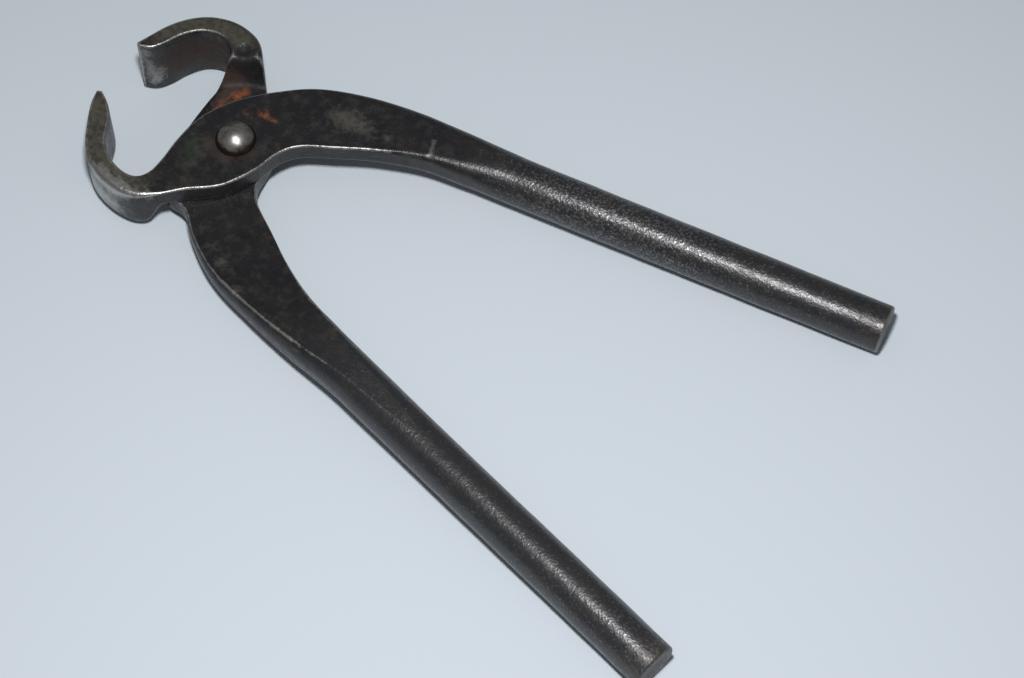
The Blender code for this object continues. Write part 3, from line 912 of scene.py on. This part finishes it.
class StageSettings(bpy.types.PropertyGroup):
    """Table, lamp and camera"""

    table_colour: colour_setting("Table", "Pale table top", "#d5dee6")
    table_tilt: FloatProperty(
        name="Tilt", description="How far the tool tips to lie on its jaws and handle ends",
        default=math.radians(1.55), subtype="ANGLE", unit="ROTATION",
    )
    view_azimuth: FloatProperty(
        name="Azimuth", description="Turn of the camera round the tool",
        default=math.radians(35.1), subtype="ANGLE", unit="ROTATION",
    )
    view_elevation: FloatProperty(
        name="Elevation", description="Height of the camera over the table",
        default=math.radians(62.0), subtype="ANGLE", unit="ROTATION",
    )
    view_distance: length_setting("Distance", "From the camera to the table", 0.709)
    lens: FloatProperty(
        name="Lens", description="Focal length on a 36 mm sensor, in millimetres",
        default=94.92, min=10, max=300,
    )
    lamp_power: FloatProperty(
        name="Lamp", description="Power of the softbox beside the camera", default=2.45,
        min=0, subtype="POWER", unit="POWER",
    )
    lamp_size: length_setting("Lamp size", "Width of the softbox", 0.045)
    room_light: FloatProperty(
        name="Room", description="Strength of the light from the room", default=0.17, min=0, max=2
    )


class PincersSettings(bpy.types.PropertyGroup):
    """Everything that a user would change"""

    levers: PointerProperty(type=LeverSettings)
    rivet: PointerProperty(type=RivetSettings)
    stage: PointerProperty(type=StageSettings)


# ---------------------------------------------------------------- operators


class PINCERS_OT_front_lever(bpy.types.Operator):
    """Builds the front lever: pointed hooked jaw, cheek and round handle"""

    bl_idname = "pincers.front_lever"
    bl_label = "Front lever"

    def execute(self, context):
        settings = context.scene.pincers.levers
        skin = lever_skin(FRONT_STATIONS, FRONT_REACH, FRONT_SEAT_RADIUS, UNSTRUCK)
        lever = finish_lever(
            "front_lever_forged", skin, False, FRONT_PATCHES, FRONT_DIMPLES, FRONT_HANDLING, settings
        )
        lever.data.materials.clear()
        lever.data.materials.append(forged_steel("oil_blackened_forged_steel_front", settings))
        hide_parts("front_lever")
        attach(lever, "front")
        return {"FINISHED"}


class PINCERS_OT_back_lever(bpy.types.Operator):
    """Builds the back lever: blunt wide jaw, cheek and round handle"""

    bl_idname = "pincers.back_lever"
    bl_label = "Back lever"

    def execute(self, context):
        settings = context.scene.pincers.levers
        skin = lever_skin(BACK_STATIONS, BACK_REACH, BACK_SEAT_RADIUS, STRUCK_DEPTH)
        lever = finish_lever(
            "back_lever_forged", skin, True, BACK_PATCHES, BACK_DIMPLES, BACK_HANDLING, settings
        )
        lever.data.materials.clear()
        lever.data.materials.append(forged_steel("oil_blackened_forged_steel_back", settings))
        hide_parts("back_lever")
        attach(lever, "back")
        return {"FINISHED"}


# The rivet's shank and the gap under its heads, in millimetres. The number of steps in a
# dome, and the hidden head's share of the visible one's radius. In metres: the size of its
# lumps, the height over which they begin, and the height of the dark foot: brown oxide, and
# painted shade where the head meets the cheek.
SHANK_RADIUS = 3.5
HEAD_GAP = 0.3
HEAD_STEPS = 16
BACK_HEAD_SHARE = 0.95
HEAD_LUMPS = 2.6 * MM
HEAD_LEVEL = 0.8 * MM
FOOT_HEIGHT = 2.9 * MM


def head_profile(radius, height, steps):
    """Points of a domed head from its top to its rim, as (radius, height over its foot)."""
    ball = (radius**2 + height**2) / (2 * height)
    edge = math.acos((ball - height) / ball)
    return [
        (ball * math.sin(edge * i / steps), height - ball * (1 - math.cos(edge * i / steps)))
        for i in range(1, steps + 1)
    ]


def rivet_profile():
    """The rivet's turned outline in metres, front head first, with both ends open."""
    front_foot = LAP_HEIGHT + (CHEEK_FRONT + HEAD_GAP) * MM
    back_foot = LAP_HEIGHT - (CHEEK_FRONT + HEAD_GAP) * MM
    head_radius = (RIVET_HIGH.x - RIVET_LOW.x) / 2
    front = head_profile(head_radius, RIVET_HIGH.z - front_foot, HEAD_STEPS)
    back = head_profile(head_radius * BACK_HEAD_SHARE, back_foot - RIVET_LOW.z, HEAD_STEPS)
    profile = [(r, front_foot + z) for r, z in front]
    profile += [(SHANK_RADIUS * MM, front_foot), (SHANK_RADIUS * MM, back_foot)]
    profile += [(r, back_foot - z) for r, z in reversed(back)]
    return profile


def turned(profile, count):
    """One closed mesh through a profile turned about the rivet's axis."""
    shape = bmesh.new()
    grid = []
    for radius, height in profile:
        turns = [math.tau * i / count for i in range(count)]
        grid.append(
            [shape.verts.new((radius * math.cos(t), radius * math.sin(t), height)) for t in turns]
        )
    wrap(shape, grid, ((0, 0, RIVET_HIGH.z), (0, 0, RIVET_LOW.z)))
    bmesh.ops.recalc_face_normals(shape, faces=shape.faces)
    bmesh.ops.translate(shape, verts=shape.verts, vec=PIVOT)
    mesh = bpy.data.meshes.new("rivet_hammered")
    shape.to_mesh(mesh)
    shape.free()
    return mesh


def hammer_heads(mesh, settings):
    """Makes the domes uneven and writes how near each point is to its head's foot."""
    normals = [v.normal.copy() for v in mesh.vertices]
    foot = []
    for vertex, normal in zip(mesh.vertices, normals):
        over = abs(vertex.co.z - LAP_HEIGHT) - (CHEEK_FRONT + HEAD_GAP) * MM
        dome = min(1.0, max(0.0, over / HEAD_LEVEL))
        rise = noise.noise(vertex.co / HEAD_LUMPS) * settings.hammer_depth * dome
        vertex.co += normal * rise
        foot.append(1 - min(1.0, max(0.0, over / FOOT_HEIGHT)))
    attribute = mesh.attributes.new("foot", "FLOAT", "POINT")
    attribute.data.foreach_set("value", foot)


class PINCERS_OT_rivet(bpy.types.Operator):
    """Builds the domed rivet through both cheeks"""

    bl_idname = "pincers.rivet"
    bl_label = "Rivet"

    def execute(self, context):
        settings = context.scene.pincers.rivet
        mesh = turned(rivet_profile(), settings.segments)
        hammer_heads(mesh, settings)
        mesh.shade_smooth()
        mesh.set_sharp_from_angle(angle=SMOOTH_UNDER)
        mesh.materials.append(handled_steel("handled_mild_steel", settings))
        rivet = bpy.data.objects.new("rivet_hammered", mesh)
        context.collection.objects.link(rivet)
        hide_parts("rivet")
        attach(rivet, "front")
        return {"FINISHED"}


# In metres: where the camera looks, from the model's origin; the lamp's place from the
# lens, a little left of it, above it and ahead of it; and the lamp's aim from the camera's.
AIM = Vector((0.0228, 0.0010, 0.0))
LAMP_BESIDE = Vector((-0.016, 0.112, -0.16))
LAMP_AIM = Vector((0.02, -0.03, 0.0))
TABLE_HALF = 6.0
SENSOR_WIDTH = 36.0
ROOM_COLOUR = "#eef2f6"


def table_frame(tilt):
    """The table's own frame: the tilted plane that the lowest points of the tool touch."""
    tip = Matrix.Rotation(tilt, 4, "Y")
    lowest = min((tip @ v.co).z for node in frame["nodes"].values() for v in node.data.vertices)
    return tip.inverted() @ Matrix.Translation((0, 0, lowest))


def looking(place, target):
    """A camera's or lamp's matrix at a place, looking at a target with the table's up."""
    turn = (target - place).to_track_quat("-Z", "Y")
    return Matrix.Translation(place) @ turn.to_matrix().to_4x4()


class PINCERS_OT_stage(bpy.types.Operator):
    """Builds the table, the lamp, the room's light and the camera"""

    bl_idname = "pincers.stage"
    bl_label = "Stage"

    def execute(self, context):
        settings = context.scene.pincers.stage
        table = table_frame(settings.table_tilt)

        bpy.ops.mesh.primitive_plane_add(size=2 * TABLE_HALF)
        top = context.object
        top.name = "table_top"
        top.matrix_world = table
        top.data.materials.append(matte_card("matte_card", settings.table_colour))

        azimuth, elevation = settings.view_azimuth, settings.view_elevation
        back = Vector(
            (
                math.sin(azimuth) * math.cos(elevation),
                -math.cos(azimuth) * math.cos(elevation),
                math.sin(elevation),
            )
        )
        lens = AIM + back * settings.view_distance
        camera_data = bpy.data.cameras.new("camera")
        camera_data.sensor_width = SENSOR_WIDTH
        camera_data.lens = settings.lens
        camera = bpy.data.objects.new("camera", camera_data)
        context.collection.objects.link(camera)
        local = looking(lens, AIM)
        camera.matrix_world = table @ local
        context.scene.camera = camera

        lamp_data = bpy.data.lights.new("softbox", "AREA")
        lamp_data.shape = "SQUARE"
        lamp_data.size = settings.lamp_size
        lamp_data.energy = settings.lamp_power
        lamp = bpy.data.objects.new("softbox", lamp_data)
        context.collection.objects.link(lamp)
        lamp.matrix_world = table @ looking(local @ LAMP_BESIDE, AIM + LAMP_AIM)

        world = bpy.data.worlds.new("room")
        world.use_nodes = True
        tree = world.node_tree
        shade = tree.nodes["Background"]
        shade.inputs["Color"].default_value = (*linear(ROOM_COLOUR), 1.0)
        shade.inputs["Strength"].default_value = settings.room_light
        context.scene.world = world
        context.scene.view_settings.view_transform = "Standard"
        return {"FINISHED"}


class PINCERS_PT_panel(bpy.types.Panel):
    """The pincers' pieces and settings"""

    bl_label = "Forged pincers"
    bl_space_type = "VIEW_3D"
    bl_region_type = "UI"
    bl_category = "Pincers"

    def draw(self, context):
        settings = context.scene.pincers
        groups = (
            (settings.levers, LEVER_OPERATORS),
            (settings.rivet, RIVET_OPERATORS),
            (settings.stage, STAGE_OPERATORS),
        )
        for group, operators in groups:
            box = self.layout.box()
            for operator in operators:
                box.operator(operator.bl_idname)
            for name in group.__annotations__:
                box.prop(group, name)


LEVER_OPERATORS = (PINCERS_OT_front_lever, PINCERS_OT_back_lever)
RIVET_OPERATORS = (PINCERS_OT_rivet,)
STAGE_OPERATORS = (PINCERS_OT_stage,)
OPERATORS = LEVER_OPERATORS + RIVET_OPERATORS + STAGE_OPERATORS
CLASSES = (LeverSettings, RivetSettings, StageSettings, PincersSettings, *OPERATORS,
           PINCERS_PT_panel)


def register():
    """Adds the settings, the operators and the panel."""
    for item in CLASSES:
        bpy.utils.register_class(item)
    bpy.types.Scene.pincers = PointerProperty(type=PincersSettings)


def unregister():
    """Takes them away again."""
    del bpy.types.Scene.pincers
    for item in reversed(CLASSES):
        bpy.utils.unregister_class(item)


def main():
    """Builds every piece and the stage."""
    register()
    bpy.ops.pincers.front_lever()
    bpy.ops.pincers.back_lever()
    bpy.ops.pincers.rivet()
    bpy.ops.pincers.stage()


if __name__ == "__main__":
    main()
